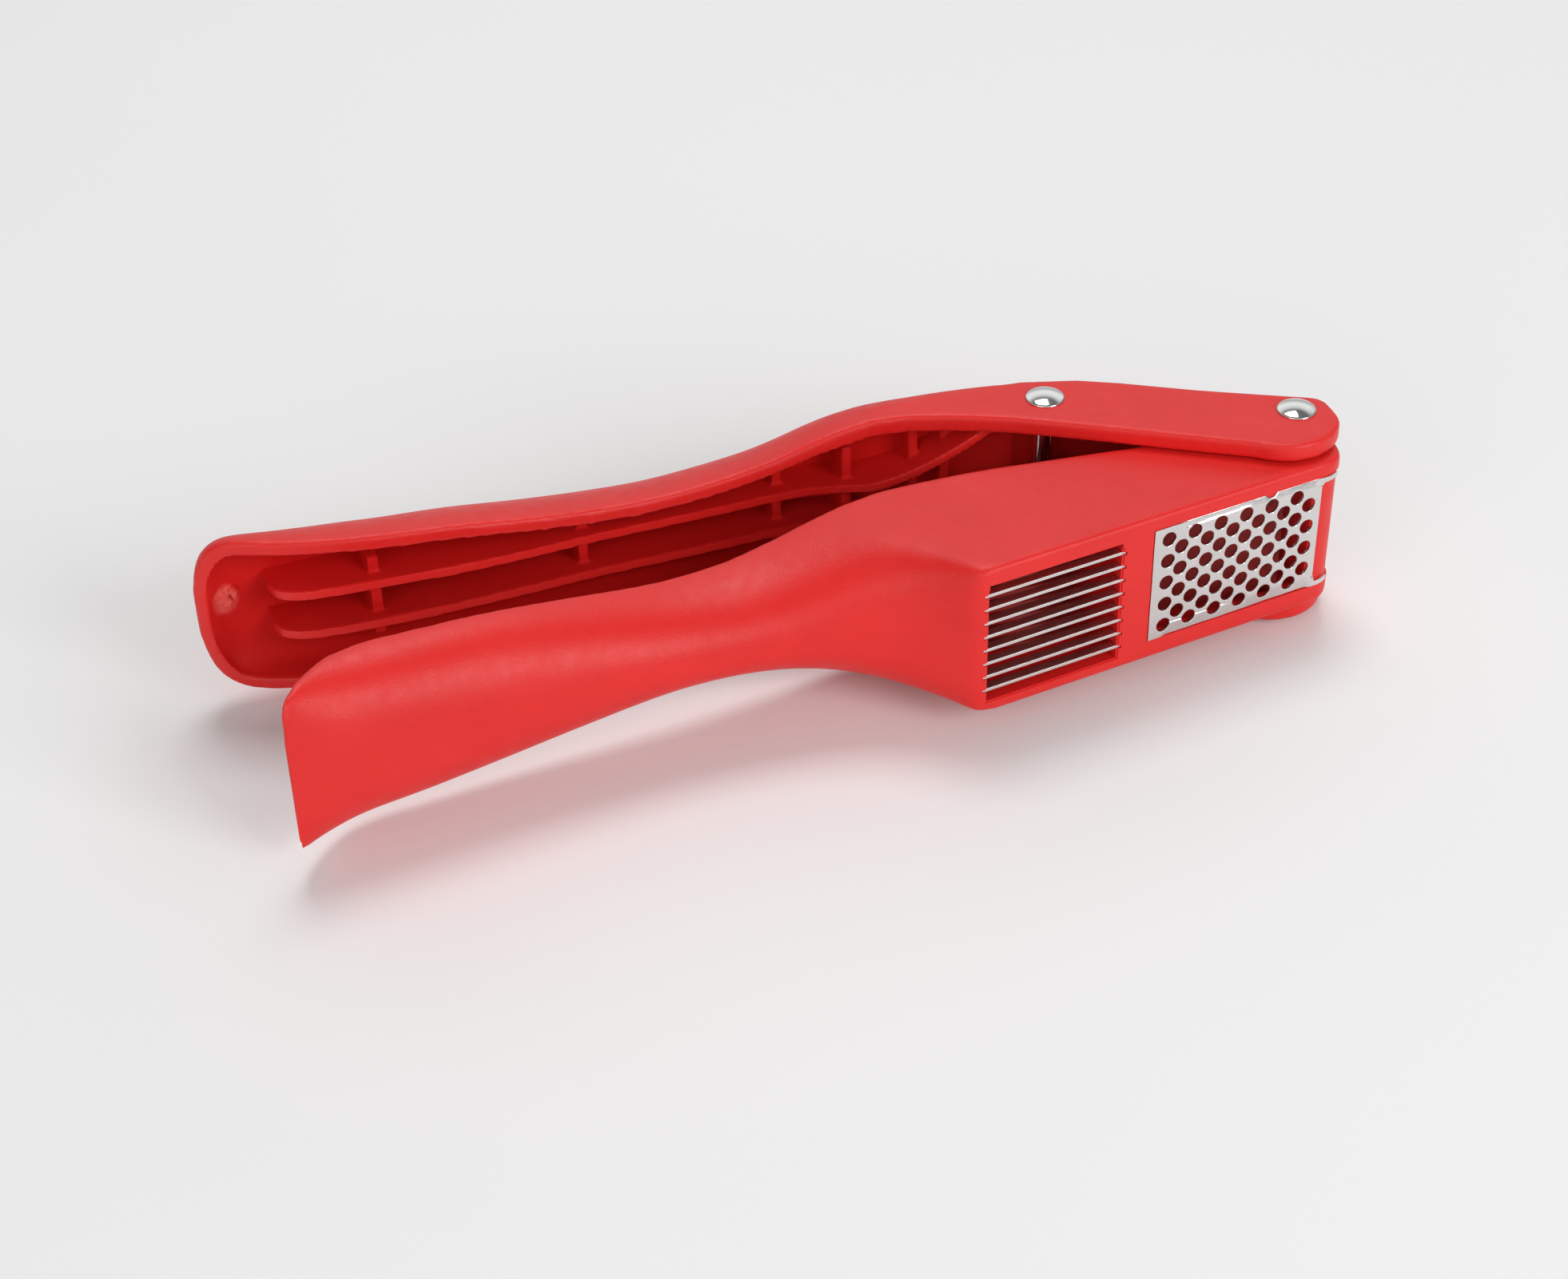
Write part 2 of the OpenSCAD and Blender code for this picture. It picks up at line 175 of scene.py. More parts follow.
def evaluated(ob):
    """The mesh of ob with its modifiers applied, in place of its own."""
    dg = bpy.context.evaluated_depsgraph_get()
    dg.update()
    mesh = bpy.data.meshes.new_from_object(ob.evaluated_get(dg), preserve_all_data_layers=True, depsgraph=dg)
    old = ob.data
    ob.modifiers.clear()
    ob.data = mesh
    bpy.data.meshes.remove(old)
    return ob


def combine(ob, tools, how):
    """Adds to or cuts from ob all the tools, and removes them."""
    for t in tools:
        m = ob.modifiers.new("b", "BOOLEAN")
        m.solver, m.operation, m.object = "MANIFOLD", how, t
        evaluated(ob)
        mesh = t.data
        bpy.data.objects.remove(t)
        bpy.data.meshes.remove(mesh)
    return ob


def relax(ob, rounds, weight=None, factor=0.5):
    """Moves every vertex towards the mean of its neighbours, rounds times."""
    mesh = ob.data
    n = len(mesh.vertices)
    co = np.zeros(n * 3, np.float32)
    mesh.vertices.foreach_get("co", co)
    co = co.reshape(-1, 3).astype(float)
    e = np.zeros(len(mesh.edges) * 2, np.int32)
    mesh.edges.foreach_get("vertices", e)
    a, b = e.reshape(-1, 2).T
    deg = np.maximum(1, np.bincount(a, minlength=n) + np.bincount(b, minlength=n))
    w = factor * (np.ones(n) if weight is None else weight(co))
    for _ in range(rounds):
        for k in range(3):
            s = np.bincount(a, co[b, k], n) + np.bincount(b, co[a, k], n)
            # the columns are moved one at a time, each from its own old values
            co[:, k] += w * (s / deg - co[:, k])
    mesh.vertices.foreach_set("co", co.astype(np.float32).ravel())
    mesh.update()
    return ob


def even(ob, voxel):
    """Remakes a closed mesh from equal small faces."""
    m = ob.modifiers.new("r", "REMESH")
    m.mode, m.voxel_size, m.adaptivity, m.use_smooth_shade = "VOXEL", voxel, 0.0, True
    return evaluated(ob)


def soften(ob, voxel, rounds, keep=None, cuts=(), adds=(), shape=None):
    """Rounds all edges a little: an even mesh, smoothed, then thinned where flat."""
    relax(even(ob, voxel), rounds)
    if shape:
        shape(ob)
    if adds:
        combine(ob, adds, "UNION")
    if cuts:
        combine(ob, cuts, "DIFFERENCE")
    sharpen(ob, 42)
    if keep:
        m = ob.modifiers.new("d", "DECIMATE")
        m.ratio = min(1.0, keep / (2 * len(ob.data.polygons)))
        evaluated(ob)
        sharpen(ob, 42)
        m = ob.modifiers.new("w", "WEIGHTED_NORMAL")
        m.mode, m.weight, m.keep_sharp = "FACE_AREA", 50, True
        evaluated(ob)
    return ob


def move(ob, matrix):
    ob.data.transform(matrix)
    ob.data.update()
    return ob


TO_ROW = Matrix.Diagonal((0.001, 0.001, 0.001, 1)) @ Matrix.Translation(SHIFT)


def turn(c, deg):
    c3 = Vector((c[0], c[1], 0))
    return Matrix.Translation(c3) @ Matrix.Rotation(math.radians(deg), 4, "Z") @ Matrix.Translation(-c3)


LEVER = turn(PIVOT, -OPEN)
PUSHER = LEVER @ turn(HANG, -(K_PUSH - 1) * OPEN)


def piece(ob, name, body, nodes, material, matrix=None):
    """Puts a finished shape in the row frame as the stand-in of some CAD nodes."""
    move(ob, TO_ROW @ (matrix or Matrix.Identity(4)))
    ob.name = name
    ob.data.name = name
    ob.data.materials.clear()
    ob.data.materials.append(material)
    for p in ob.data.polygons:
        p.material_index = 0
    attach(ob, body)
    if nodes:
        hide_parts(*nodes)
    return ob


def outer_form(T, xs, dirn, m):
    """The filled outer arch of a channel handle."""
    def ring(x):
        r = at(T, x, 2)
        return arch(x, at(T, x, 1), r, at(T, x, 3), at(T, x, 4), r - dirn * 0.001, m)

    return loft([ring(x) for x in xs], "handle")


def inner_form(T, xi, wall, grow, dirn, m):
    """The hollow of a channel handle, wall thick and grow thicker at the head."""
    def ring(x):
        r = at(T, x, 2)
        e = max(0.0, xi[0] + 4.6 - x)
        k = 1 - math.sqrt(max(0.0, 1 - e * e / 21.2)) if dirn > 0 else 0.0
        u = wall + grow * min(1.0, max(0.0, (x + 60) / 20))
        y = at(T, x, 3) - dirn * (u + 1.6 * k)
        return arch(x, at(T, x, 1) - u - 6.2 * k, r, y if dirn > 0 else min(y, r - 0.05), at(T, x, 4), r - dirn * 6, m)

    return loft([ring(x) for x in xi], "hollow")


def fade(v, a, b):
    """0 at a, 1 at b, smooth between."""
    t = np.clip((v - a) / (b - a), 0, 1)
    return t * t * (3 - 2 * t)


def span(a, b, step):
    n = max(1, round((b - a) / step))
    return [a + (b - a) * i / n for i in range(n + 1)]


# ------------------------------------------------------------------- materials
def nodes_of(mat):
    mat.use_nodes = True
    nt = mat.node_tree
    nt.nodes.clear()
    out = nt.nodes.new("ShaderNodeOutputMaterial")
    bsdf = nt.nodes.new("ShaderNodeBsdfPrincipled")
    nt.links.new(bsdf.outputs[0], out.inputs[0])
    return nt, bsdf


def noise(nt, coord, scale, detail=3.0, rough=0.5):
    n = nt.nodes.new("ShaderNodeTexNoise")
    n.inputs["Scale"].default_value = scale
    n.inputs["Detail"].default_value = detail
    n.inputs["Roughness"].default_value = rough
    nt.links.new(coord, n.inputs["Vector"])
    return n.outputs["Fac"]


def ramp(nt, fac, stops):
    r = nt.nodes.new("ShaderNodeValToRGB")
    el = r.color_ramp.elements
    while len(el) < len(stops):
        el.new(0.5)
    for e, (p, c) in zip(el, stops):
        e.position = p
        e.color = (*c, 1) if hasattr(c, "__len__") else (c, c, c, 1)
    nt.links.new(fac, r.inputs[0])
    return r.outputs[0]


def math_node(nt, op, a, b):
    n = nt.nodes.new("ShaderNodeMath")
    n.operation = op
    for i, v in enumerate((a, b)):
        if isinstance(v, (int, float)):
            n.inputs[i].default_value = v
        else:
            nt.links.new(v, n.inputs[i])
    return n.outputs[0]


def mix(nt, fac, a, b, kind="RGBA"):
    """a where fac is 0, b where it is 1."""
    n = nt.nodes.new("ShaderNodeMix")
    n.data_type = kind
    k = (0, 6, 7, 2) if kind == "RGBA" else (0, 2, 3, 0)
    for i, v in zip(k, (fac, a, b)):
        if isinstance(v, bpy.types.NodeSocket):
            nt.links.new(v, n.inputs[i])
        elif hasattr(v, "__len__"):
            n.inputs[i].default_value = (*v, 1)
        else:
            n.inputs[i].default_value = v
    return n.outputs[k[3]]


def mask(nt, name):
    n = nt.nodes.new("ShaderNodeAttribute")
    n.attribute_type, n.attribute_name = "GEOMETRY", name
    return n.outputs["Fac"]


def plastic(name, dark, light, rough=(0.4, 0.5), masks=False):
    """Satin moulded plastic: slightly uneven colour and a fine spark-eroded grain; with masks, painted shade inside
    the handles (a darker red) with a duller gloss there, and the pale torn spot where the sprue was broken off."""
    mat = bpy.data.materials.new(name)
    nt, b = nodes_of(mat)
    co = nt.nodes.new("ShaderNodeTexCoord").outputs["Object"]
    cloud = noise(nt, co, 55, 3)
    b_col = ramp(nt, cloud, [(0.3, dark), (0.7, light)])
    inside = mask(nt, "inside") if masks else 0.0
    if masks:
        # painted shade: the base colour is darkened to 0.86 inside the handle hollows and chambers, where shade falls
        b_col = mix(nt, inside, b_col, tuple(0.86 * c for c in dark))
        torn = math_node(nt, "MULTIPLY", mask(nt, "torn"), ramp(nt, noise(nt, co, 700, 2, 0.5), [(0.3, 0.35), (0.7, 1.0)]))
        b_col = mix(nt, torn, b_col, (0.80, 0.13, 0.11))
    nt.links.new(b_col, b.inputs["Base Color"])
    fine = noise(nt, co, 2600, 2, 0.6)
    mid = noise(nt, co, 420, 3)
    r = ramp(nt, mid, [(0.3, rough[0]), (0.72, rough[1])])
    if masks:
        r = mix(nt, inside, r, 0.62, "FLOAT")
        nt.links.new(mix(nt, inside, 0.42, 0.12, "FLOAT"), b.inputs["Specular IOR Level"])
    else:
        b.inputs["Specular IOR Level"].default_value = 0.3
    nt.links.new(r, b.inputs["Roughness"])
    b.inputs["IOR"].default_value = 1.49
    bump = nt.nodes.new("ShaderNodeBump")
    bump.inputs["Strength"].default_value = 0.45
    bump.inputs["Distance"].default_value = 0.0001
    h = math_node(nt, "ADD", fine, math_node(nt, "MULTIPLY", mid, 0.8))
    nt.links.new(h, bump.inputs["Height"])
    nt.links.new(bump.outputs[0], b.inputs["Normal"])
    return mat


def steel(name, base=(0.74, 0.73, 0.73), rough=(0.2, 0.34), stretch=(9000, 700, 700), bump_d=0.000012, scale=1.0):
    """Rolled or ground steel, with fine lines along one way."""
    mat = bpy.data.materials.new(name)
    nt, b = nodes_of(mat)
    co = nt.nodes.new("ShaderNodeTexCoord").outputs["Object"]
    mp = nt.nodes.new("ShaderNodeMapping")
    mp.inputs["Scale"].default_value = stretch
    nt.links.new(co, mp.inputs["Vector"])
    lines = noise(nt, mp.outputs[0], scale, 3, 0.6)
    cloud = noise(nt, co, 160, 2)
    col = ramp(nt, cloud, [(0.25, tuple(0.93 * c for c in base)), (0.75, base)])
    nt.links.new(col, b.inputs["Base Color"])
    b.inputs["Metallic"].default_value = 1.0
    nt.links.new(ramp(nt, lines, [(0.3, rough[0]), (0.7, rough[1])]), b.inputs["Roughness"])
    bump = nt.nodes.new("ShaderNodeBump")
    bump.inputs["Strength"].default_value = 0.25
    bump.inputs["Distance"].default_value = bump_d
    nt.links.new(lines, bump.inputs["Height"])
    nt.links.new(bump.outputs[0], b.inputs["Normal"])
    return mat


RED = plastic("red_plastic", (0.71, 0.013, 0.011), (0.77, 0.018, 0.015), masks=True)
RED_P = plastic("pusher_plastic", (0.25, 0.014, 0.011), (0.30, 0.018, 0.014), (0.5, 0.6))
PLATE = steel("plate_steel", (0.76, 0.735, 0.73), (0.2, 0.32), (260, 260, 5200), 0.00001)
BLADE = steel("blade_steel", (0.78, 0.70, 0.685), (0.28, 0.4), (300, 6000, 6000), 0.000008)
CHROME = steel("rivet_chrome", (0.82, 0.815, 0.81), (0.06, 0.12), (900, 900, 900), 0.000003)

# ------------------------------------------------------------------ lower body
M = 72
VOX = 0.42


def lower_body():
    profile = ([(-37.4, 0)] + arc((32.4, 5.6), 5.6, -90, -14, 24) + arc(PIVOT, 5.7, -10, 95, 32)
               + [(20, 19.4), (5.8, 21.3), (-2.6, 23.4), (-10.9, 25.4), (-17.7, 27.1), (-24.9, 28.5),
                  (-32.3, 29.6), (-38.6, 30.3), (-38.6, 3.5)])
    ob = prism(profile, -BOX_HW, BOX_HW, "body")
    xs = [-151.4, -151.25, -151.05, -150.8, -150.4] + span(-150, -138, 0.6) + span(-137, -52, 1.0) + span(-51.2, -36.6, 0.7)
    xi = [-152, -151.4, -151] + span(-150.5, -144, 0.6) + span(-143, -42, 1.2) + [-39.5]
    combine(ob, [outer_form(LOW, xs, -1, M)], "UNION")
    relax(even(ob, VOX), 12, lambda co: 0.12 + 0.88 * fade(co[:, 0], -151, -135))
    # the tip and the flare are blended more, away from the edge of the tip and from the rim that faces the lever
    relax(ob, 14, lambda co: (1 - fade(co[:, 0], -146, -130)) * fade(co[:, 2], 7, 12))
    relax(ob, 45, lambda co: fade(co[:, 0], -88, -70) * (1 - fade(co[:, 0], -37, -33)) * fade(30.5 - co[:, 1], 2, 8))
    return combine(ob, [inner_form(LOW, xi, WALL + 0.5, 0, -1, M)], "DIFFERENCE")


def lower_openings():
    """Both chambers, the seat of the plate, the blade slots and the main bore, as one tool with crisp edges."""
    seat = block(32.4, -1, -10.95, 9, 9.4, 23.2)
    combine(seat, [rod((32.4, 5.6), 5.6 - SEAT, -12, 14, 96), block(32.3, 5.6, -12, 5.7 - SEAT, 5, 26)], "DIFFERENCE")
    tool = block(-35.4, -1, SLICER_Z - CHAMBER_HW, 26.1, 40, 2 * CHAMBER_HW)
    # a thin step along the lower and right edge of the window, where the mould halves meet
    step = block(-35.7, -1, SLICER_Z - CHAMBER_HW - 0.3, 26.75, 1.22, 2 * CHAMBER_HW - 0.6)
    return combine(tool, [block(-35.4, 2.5, SLICER_Z - CHAMBER_HW, 27.7, 40, 2 * CHAMBER_HW),
                          block(-5.5, 1.6, -CHAMBER_HW, 35.7, 40, 2 * CHAMBER_HW),
                          block(-1.6, -1, -9.9, 31.8, 4, 21),
                          block(-3.1, -1, -10.95, 40, 1 + SEAT, 23.2),
                          seat, step, rod(PIVOT, PIN_R + FIT, -20, 20)] + notches(), "UNION")


# ----------------------------------------------------------------------- lever
def rib_path(x):
    z = RIB_Z - RIB_IN * min(1, max(0, (x + 130) / 26))
    return z if x < -38 else z + (CHEEK_IN + 0.6 - z) * ((x + 38) / 22.6) ** 1.6


def long_rib(side):
    xs = [-146, -130, -104] + span(-38, -15.4, 1.0)
    plan = [(x, rib_path(x) - RIB_T / 2) for x in xs] + [(x, rib_path(x) + RIB_T / 2) for x in reversed(xs)]
    a = prism([(x, side * z) for x, z in plan], -50, -28)
    move(a, Matrix.Rotation(math.radians(90), 4, "X"))   # (x, z, -y) to (x, y, z)
    edge = [(-145.3, 44.5), (-145.2, 39), (-144.6, 37.1), (-143.2, 35.7), (-141, 34.7), (-137, 34.0), (-126, 33.8),
            (-113, 33.9), (-100, 34.7), (-88, 35.7), (-77, 36.2), (-64, 36.8), (-56, 37.3), (-49, 37.4), (-43, 36.4),
            (-37, 34.8), (-31, 33.5), (-25, 32.0), (-19, 30.4), (-13, 28.6)]
    smooth = [(x, at(edge, x, 1)) for x in span(-145.1, -13, 0.8)]
    side_view = edge[:2] + smooth[1:] + [(-13, 37.0), (-20, 39.8), (-27, 42.2), (-34, 44.2), (-45, 46.4), (-77, 47.0),
                                         (-100, 47.3), (-126, 46.8), (-137, 45.6)]
    b = prism(side_view, -20 if side < 0 else -1, 1 if side < 0 else 20)
    return combine(a, [b], "INTERSECT")


def cheek():
    pts = ([(-37, 33.5), (-31, 32.9), (-25.2, 31.1), (-19.5, 28.9), (-14, 26.4), (-9.5, 23.9), (2.4, 17), (14.3, 9.9),
            (22.5, 5.1)] + arc((30.9, 11.6), 10.3, -126, -24, 40) + [(40.7, 10.4), (40.7, 12.2)]
           + arc((37.4, 12.9), 3.2, 5, 58, 14) + [(21.2, 24.7), (8.8, 31.8), (2, 35.2), (-8, 38.1), (-18, 38.2),
                                                 (-37, 38.2)])
    return pts


def upper_handle():
    xs = ([-157.7, -157.6, -157.45, -157.25, -157, -156.7, -156.4, -156, -155.5, -155, -154.4, -153.7, -152.9]
          + span(-152, -54, 1.0) + span(-53.2, -8, 0.8))
    xi = ([-155.6, -155.55, -155.45, -155.3, -155.1, -154.8, -154.4, -153.9, -153.3, -152.6, -151.8, -151]
          + span(-150, -54, 1.2) + span(-53, -7, 1.0))
    ob = outer_form(UPP, xs, 1, M)
    combine(ob, [prism(cheek(), -CHEEK_OUT, CHEEK_OUT)], "UNION")
    relax(even(ob, VOX), 9, lambda co: (0.1 + 0.9 * fade(co[:, 0], -157, -146)) * (1 - 0.45 * fade(co[:, 0], -15, 15)))
    combine(ob, [inner_form(UPP, xi, WALL, CHEEK_T - WALL, 1, M),
                 prism([(-39, -5), (46, -5), (46, 32), (21.2, 32), (21.2, 24.6), (22.4, 21.7), (21.2, 21.9), (8.8, 28.9),
                        (1.4, 32.4), (-8, 35.2), (-10, 35.6), (-10, 33.7), (-39, 33.7)], -CHEEK_IN, CHEEK_IN)], "DIFFERENCE")
    return ob


def ribs():
    parts = [long_rib(1), long_rib(-1)]
    for x, y, z, top in [(-127.2, 36.6, 8, 46), (-89.8, 38.5, 6, 46.8), (-53.2, 40.6, 9, 46), (-40.7, 38.2, 11, 45.4),
                         (-28.5, 37, 14, 42.6), (-22.6, 36.4, 14.5, 40.6)]:
        parts.append(block(x - 0.9, y, -z, 1.8, top - y, 2 * z))
    tree = combine(parts[0], parts[1:], "UNION")
    return relax(even(tree, 0.3), 1)


def lever_openings():
    return [rod(HANG, 4, -4.5, 4.5), rod(PIVOT, PIN_R + 0.01, -20, 20), rod(HANG, PIN_R + 0.01, -20, 20)]


# ---------------------------------------------------------------------- pusher
def pusher():
    ob = block(-2.7, 1.9, -11.3, 31.2, 5.6, 22.6)
    parts = [block(-33.8, 4.6, SLICER_Z - 11.3, 23, 3.6, 22.6)]
    for i in range(BLADES + 1):
        z, h = SLICER_Z + (i - BLADES / 2) * PITCH, 0.45 if i in (0, BLADES) else 0.75
        parts.append(block(-33.8, 0.9, z - h, 23, 4, 2 * h))
    web = [(-33.8, 7.5), (-10.8, 7.5), (-10.2, 25), (-8.6, 26.9), (-4.6, 26.9), (-3.2, 25), (-2.7, 7), (28.5, 7),
           (28.5, 8.8), (14, 19.5), (0, 30), (-4.5, 33.8), (-7.3, 33.8), (-12, 30.5), (-33.8, 11)]
    for s in (-1, 1):
        parts.append(prism(web, s * 2.9 - 1.1, s * 2.9 + 1.1))
    parts += [rod(HANG, 3.3, -4, 4), block(-24, 7.5, -7, 1.8, 7, 14), block(10, 7, -7, 1.8, 12, 14)]
    combine(ob, parts, "UNION")
    return combine(ob, [rod(HANG, PIN_R + FIT, -8, 8)], "DIFFERENCE")


# ----------------------------------------------------------------------- steel
def plate():
    y0 = SEAT - PLATE_T
    ob = block(-3, y0, -10.9, 35.1, PLATE_T, 23.1)
    parts = []
    for z in (-10.9, 11.1):
        ring = rod((32.4, 5.6), 5.6 - SEAT + PLATE_T, z, z + 1.1, 96)
        combine(ring, [rod((32.4, 5.6), 5.6 - SEAT, z - 1, z + 3, 96)], "DIFFERENCE")
        combine(ring, [block(32.0, -1, z - 1, 8, 1.7, 4)], "INTERSECT")
        parts.append(ring)
    combine(ob, parts, "UNION")
    holes = []
    for c in range(12):
        for r in range(5 if c % 2 == 0 else 4):
            h = rod((c * COL_PITCH, 9.7 - (r + (c % 2) / 2) * HOLE_PITCH), HOLE_R, -2, 3, 40)
            move(h, Matrix.Rotation(math.radians(90), 4, "X"))
            holes.append(h)
    h = rod((8 * COL_PITCH, 12.75), HOLE_R, -2, 3, 40)
    holes.append(move(h, Matrix.Rotation(math.radians(90), 4, "X")))
    return combine(ob, holes, "DIFFERENCE")


def pressed(ob):
    """Bends the free edges of the plate in, as the press tool leaves them."""
    n = len(ob.data.vertices)
    co = np.zeros(n * 3, np.float32)
    ob.data.vertices.foreach_get("co", co)
    co = co.reshape(-1, 3)
    x, z = co[:, 0].astype(float), co[:, 2].astype(float)
    flat = 1 - fade(x, 30.2, 31.6)
    top = np.clip((z - 10.9) / 1.3, 0, 1) * 0.42 * flat * fade(x, 1.5, 4)
    top += np.clip((z - 9.9) / 2.3, 0, 1) * 0.08 * flat * fade(x, 15.5, 18)
    bottom = np.clip((-8.3 - z) / 2.6, 0, 1) * (0.3 * fade(x, -0.5, 1) + 0.1 * fade(x, 15.5, 20)) * flat
    middle = fade(z, -9.4, -8.4) * (1 - fade(z, 10.2, 10.9))
    side = np.clip((x - 30.3) / 1.8, 0, 1) * 0.42 * middle
    line = 0.15 * np.exp(-(((z - 11.15 - 0.02 * (x - 4)) / 0.17) ** 2)) * fade(x, 2.8, 4.2) * (1 - fade(x, 15.5, 17.5))
    line += 0.15 * np.exp(-(((z + 8.15) / 0.15) ** 2)) * (1 - fade(x, 12.5, 14.5)) * fade(x, -0.4, 0.6)
    wave = 0.02 * np.sin(0.9 * x + 0.5) * np.sin(0.55 * z + 1.0) * flat
    co[:, 1] += (top + bottom + side + line + wave).astype(np.float32)
    ob.data.vertices.foreach_set("co", co.ravel())
    ob.data.update()
    return ob


def blade(i):
    z = SLICER_Z + (i - (BLADES - 1) / 2) * PITCH
    h = BLADE_T / 2
    e = 0.06
    pts = [(0.3 + e, z - h), (0.3, z - h + e), (0.3, z + h - e), (0.3 + e, z + h), (0.3 + BLADE_H - 0.6, z + h),
           (0.3 + BLADE_H, z + 0.03), (0.3 + BLADE_H, z - 0.03), (0.3 + BLADE_H - 0.6, z - h)]
    n = len(pts)
    verts = [(x, y, zz) for x in (-36.15, -8.45) for y, zz in pts]
    faces = [tuple(range(n)), tuple(range(2 * n - 1, n - 1, -1))]
    faces += [(j, (j + 1) % n, (j + 1) % n + n, j + n) for j in range(n)]
    return closed(new_object("blade", verts, faces))


def lathe(profile, c, n=96):
    """A closed profile of (radius, z) turned round the axis at c."""
    verts, faces = [], []
    rings = []
    for r, z in profile:
        if r < 1e-6:
            verts.append((c[0], c[1], z))
            rings.append([len(verts) - 1])
        else:
            first = len(verts)
            for i in range(n):
                a = 2 * math.pi * i / n
                verts.append((c[0] + r * math.cos(a), c[1] + r * math.sin(a), z))
            rings.append(list(range(first, first + n)))
    for a, b in zip(rings, rings[1:]):
        for i in range(n):
            j = (i + 1) % n
            if len(a) == 1:
                faces.append((a[0], b[i], b[j]))
            elif len(b) == 1:
                faces.append((a[i], b[0], a[j]))
            else:
                faces.append((a[i], b[i], b[j], a[j]))
    ob = closed(new_object("lathe", verts, faces))
    for p in ob.data.polygons:
        p.use_smooth = True
    return ob


def dome_profile(z, up, base_r):
    """From the shaft out over a riveted head: a short rim with a soft edge, then a low dome."""
    r, h, band = HEAD_R, HEAD_H, 0.3
    pts = [(base_r, z), (r - 0.05, z), (r, z + up * 0.05), (r, z + up * (band - 0.14)), (r - 0.04, z + up * (band - 0.04))]
    rs = (r * r + (h - band) ** 2) / (2 * (h - band))
    for i in range(1, 25):
        x = (r - 0.08) * (1 - i / 24)
        pts.append((x, z + up * (band + math.sqrt(rs * rs - x * x) - (rs - (h - band)))))
    return pts


def pin(c):
    z0 = -CHEEK_OUT + 1.2
    return lathe([(0, z0), (PIN_R - 0.1, z0), (PIN_R, z0 + 0.1)] + dome_profile(CHEEK_OUT, 1, PIN_R), c)


def cap(c):
    z0 = -CHEEK_OUT + 1.2
    return lathe([(0, z0), (PIN_R, z0)] + dome_profile(-CHEEK_OUT, -1, PIN_R), c)


def sharpen(ob, deg=30):
    """Smooth shading, broken at edges sharper than deg."""
    bm = bmesh.new()
    bm.from_mesh(ob.data)
    for e in bm.edges:
        if len(e.link_faces) == 2:
            e.smooth = e.calc_face_angle() < math.radians(deg)
    for f in bm.faces:
        f.smooth = True
    bm.to_mesh(ob.data)
    bm.free()
    return ob


def notches():
    """The slots in both window edges that the blade ends lie in."""
    return [block(-36.22, -1, SLICER_Z + (i - (BLADES - 1) / 2) * PITCH - BLADE_T / 2 - 0.05, 27.84, 1.32 + BLADE_H, BLADE_T + 0.1)
            for i in range(BLADES)]


def lump(c, size, seed):
    """A small uneven blob of plastic, for the mark that the sprue leaves."""
    bm = bmesh.new()
    bmesh.ops.create_icosphere(bm, subdivisions=4, radius=1.0)
    for v in bm.verts:
        p = v.co
        k = 1 + 0.16 * math.sin(3.1 * p.x + 2.3 * p.z + seed) + 0.12 * math.sin(5.7 * p.z - 4.1 * p.x + 2 * seed)
        k += 0.06 * math.sin(11 * p.x + 9 * p.z + seed)
        v.co = Vector((c[0] + size[0] * k * p.x, c[1] + size[1] * k * p.y, c[2] + size[2] * k * p.z))
    mesh = bpy.data.meshes.new("lump")
    bm.to_mesh(mesh)
    bm.free()
    ob = bpy.data.objects.new("lump", mesh)
    scene.collection.objects.link(ob)
    return closed(ob)


def paint(ob, T, dirn):
    """Marks how far a vertex lies inside the outer arch of a handle, where the material paints shade, and the torn
    spot, for the material.
    """
    n = len(ob.data.vertices)
    co, no = np.zeros(n * 3, np.float32), np.zeros(n * 3, np.float32)
    ob.data.vertices.foreach_get("co", co)
    ob.data.vertices.foreach_get("normal", no)
    co, no = co.reshape(-1, 3).astype(float), no.reshape(-1, 3).astype(float)
    x, y, z = co.T
    grid = np.linspace(T[0][0], T[-1][0], 600)
    w, r, c, k = (np.interp(x, grid, [at(T, g, i) for g in grid]) for i in (1, 2, 3, 4))
    deep = dirn * (y - r)
    size = np.abs(c - r) + 0.01
    s = ((np.abs(z) / w) ** k + (np.clip(deep / size, 0, None)) ** k) ** (1 / k)
    inside = fade((1 - s) * np.minimum(w, size), 0.9, 2.2) * fade(deep, 0.5, 3.5)
    if dirn > 0:
        head = np.maximum(fade(-no[:, 2] * np.sign(z), 0.3, 0.8), fade(-no[:, 1], 0.4, 0.9) * (np.abs(z) < CHEEK_IN))
        inside = np.where(x > -12, head, inside)
    else:
        box = fade(-no[:, 2] * np.sign(z), 0.5, 0.9) * (np.abs(z) < BOX_HW - 1) * fade(y, 2.0, 8)
        inside = np.where(x > -38, box, inside * (1 - fade(x, -45, -38)))
    spot = ((x + 152.4) / 2.3) ** 2 + ((z - 0.9) / 2.9) ** 2
    torn = (1 - fade(spot, 0.5, 1.3)) * (inside > 0.2) if dirn > 0 else np.zeros(n)
    # the inside mask drives the painted shade (a darker base colour) and the duller gloss of the hollows
    for name, v in (("inside", inside), ("torn", torn)):
        a = ob.data.attributes.new(name, "FLOAT", "POINT")
        a.data.foreach_set("value", np.clip(v, 0, 1).astype(np.float32))
    return ob


gate = [lump((-152.9, 42.9, 0.9), (1.5, 0.75, 2.0), 0.4), lump((-150.9, 43.2, 1.9), (0.9, 0.8, 1.5), 2.1)]
ob = soften(lower_body(), VOX, 3, 90000, [lower_openings()])
piece(paint(ob, LOW, -1), "body_shell", "press_body", ["lower_body"], RED)
ob = soften(upper_handle(), VOX, 3, 120000, lever_openings(), [ribs()] + gate)
piece(paint(ob, UPP, 1), "lever_shell", "lever", ["upper_handle"], RED, LEVER)
piece(soften(pusher(), VOX, 3, 40000), "swing_pusher", "pusher_body", ["pusher"], RED_P, PUSHER)
piece(soften(plate(), 0.14, 2, 70000, shape=pressed), "punched_plate", "press_body", ["press_plate"], PLATE)
for i in range(BLADES):
    piece(sharpen(blade(i), 25), f"slicing_blade_{i + 1}", "press_body", [f"slicer_blade_{i + 1}"], BLADE)
